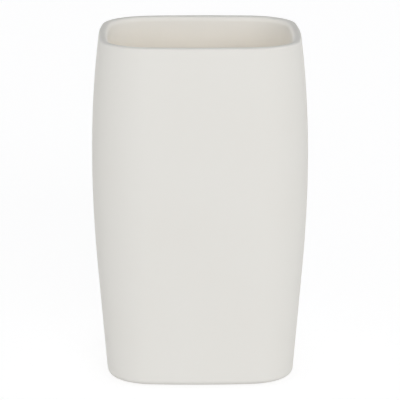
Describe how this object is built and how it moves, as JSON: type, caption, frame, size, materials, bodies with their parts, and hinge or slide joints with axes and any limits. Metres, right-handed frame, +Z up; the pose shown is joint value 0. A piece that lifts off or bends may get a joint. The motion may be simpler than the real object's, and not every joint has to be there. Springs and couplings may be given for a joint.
{
  "type": "bathroom tumbler",
  "caption": "Open ceramic tumbler, square with bowed sides and round corners, swelling above the middle, on small soft feet. Holds toothbrushes or rinsing water beside a washbasin.",
  "frame": {"origin": "on the table under the middle of the tumbler, on the plane that the four feet stand on", "axes": "+Z up through the mouth, -Y towards the front side seen in the picture, +X to that side's right"},
  "size_m": [0.0696, 0.0696, 0.11],
  "materials": {
    "matt_glaze": "matte",
    "foot_rubber": "matte",
    "adhesive": "satin"
  },
  "bodies": {
    "root": {"tumbler_body": "matt_glaze", "nonslip_foot_front_left": "foot_rubber", "nonslip_foot_front_right": "foot_rubber", "nonslip_foot_back_left": "foot_rubber", "nonslip_foot_back_right": "foot_rubber", "adhesive_disc_front_left": "adhesive", "adhesive_disc_front_right": "adhesive", "adhesive_disc_back_left": "adhesive", "adhesive_disc_back_right": "adhesive"}
  },
  "joints": []
}
